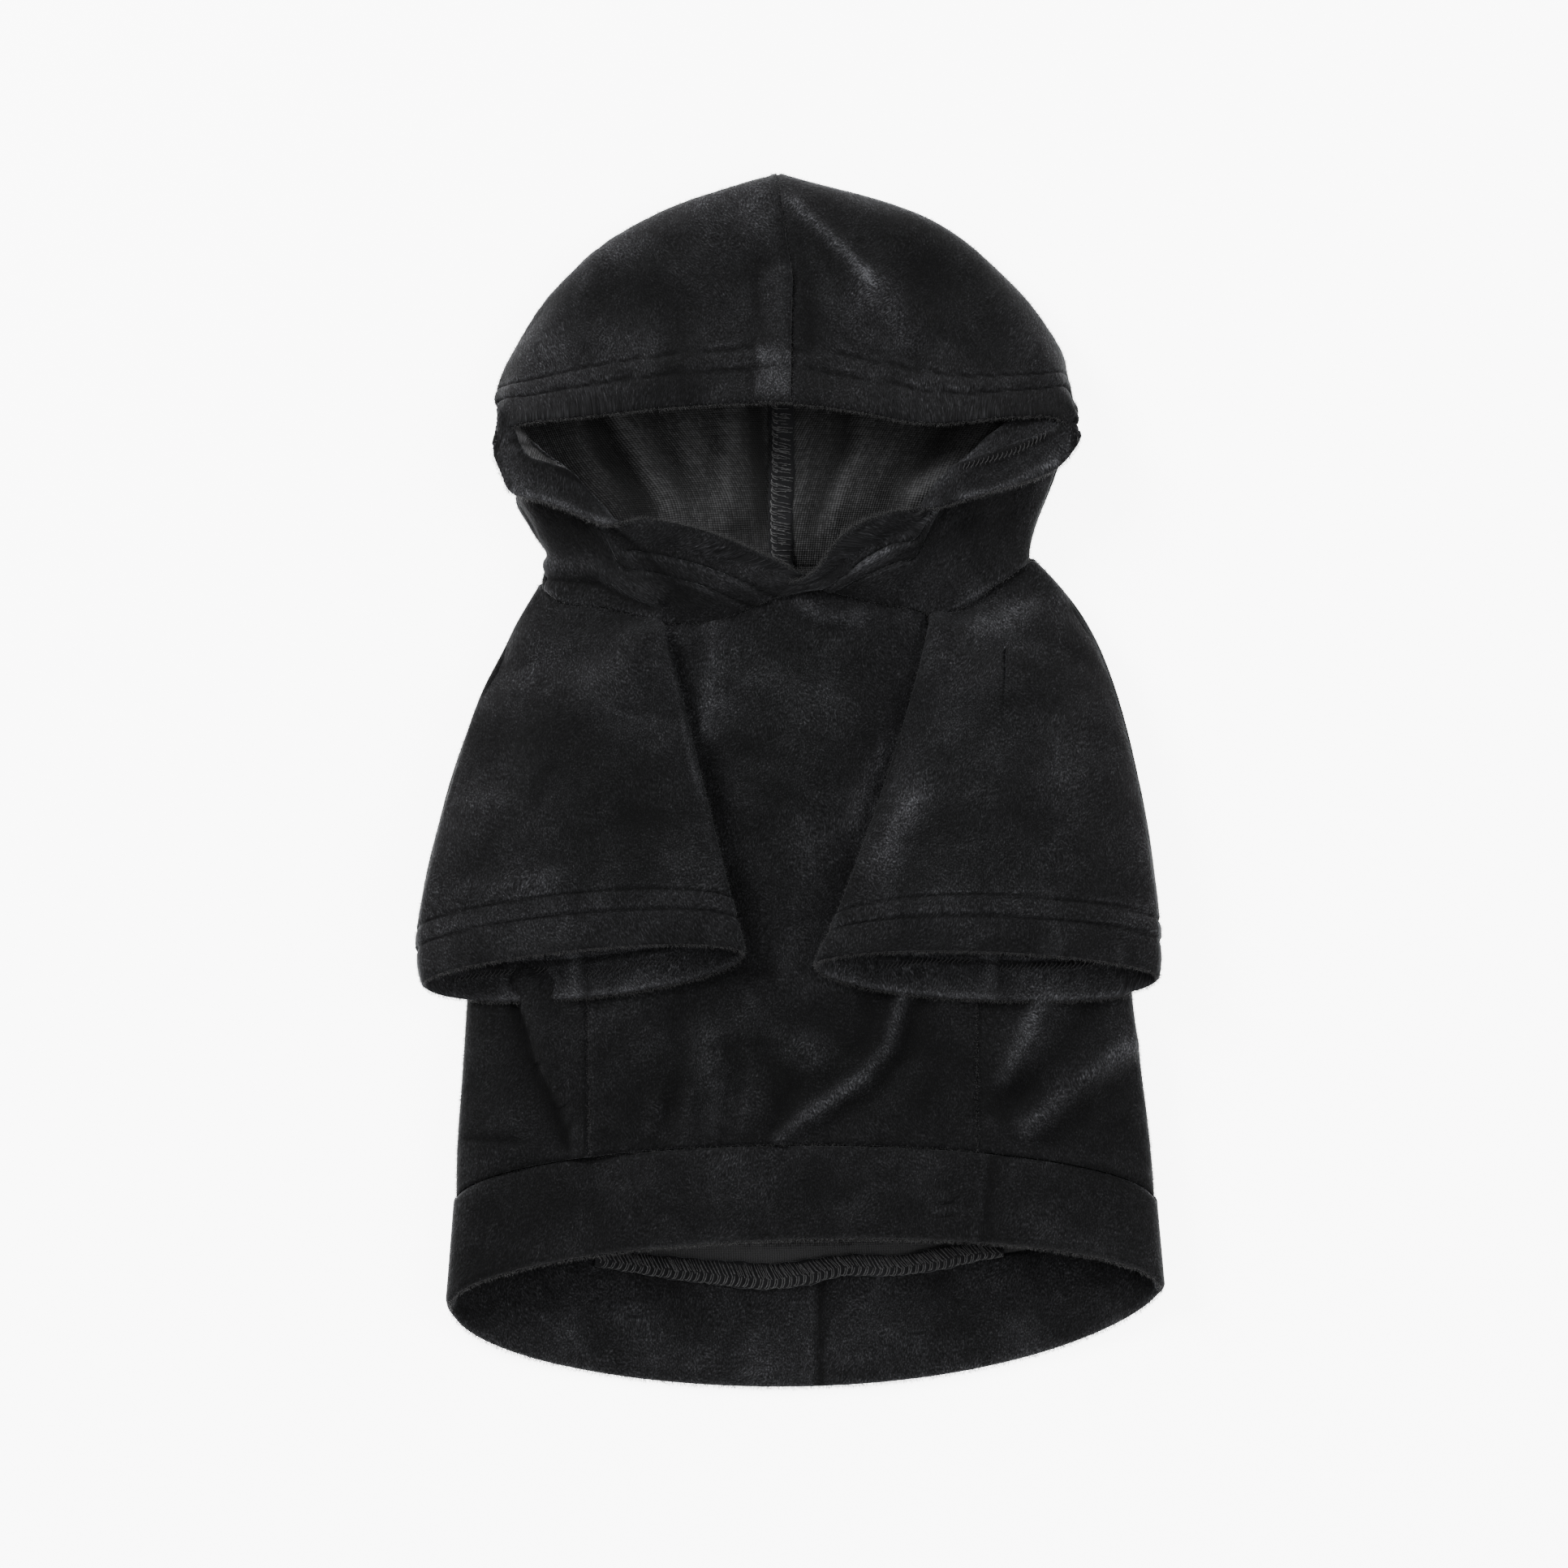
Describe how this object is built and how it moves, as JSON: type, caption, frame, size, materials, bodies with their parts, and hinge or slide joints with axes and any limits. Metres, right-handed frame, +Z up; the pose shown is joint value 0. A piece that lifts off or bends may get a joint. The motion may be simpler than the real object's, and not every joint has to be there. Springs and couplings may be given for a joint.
{
  "type": "dog hoodie",
  "caption": "Hooded pullover for a small dog, in short-pile velour with raglan sleeves and a folded waistband, lying belly up and ready to wear.",
  "frame": {"origin": "middle of the bounding box, on the surface that the garment's back lies on", "axes": "+Y from the waistband to the hood's tip, +X to the right of the picture (the wearer's left side when worn), +Z up from the back to the belly"},
  "size_m": [0.2214, 0.3594, 0.0288],
  "materials": {
    "velour": "short velour pile outside, fine knit inside",
    "seam_thread": "overlocked seam allowance"
  },
  "bodies": {
    "root": {"chest_panel": "velour", "back_panel": "velour", "waistband": "velour", "sleeve_left": "velour", "sleeve_right": "velour", "hood_left": "velour", "hood_right": "velour", "hood_overlock": "seam_thread", "waist_overlock": "seam_thread"}
  },
  "joints": []
}
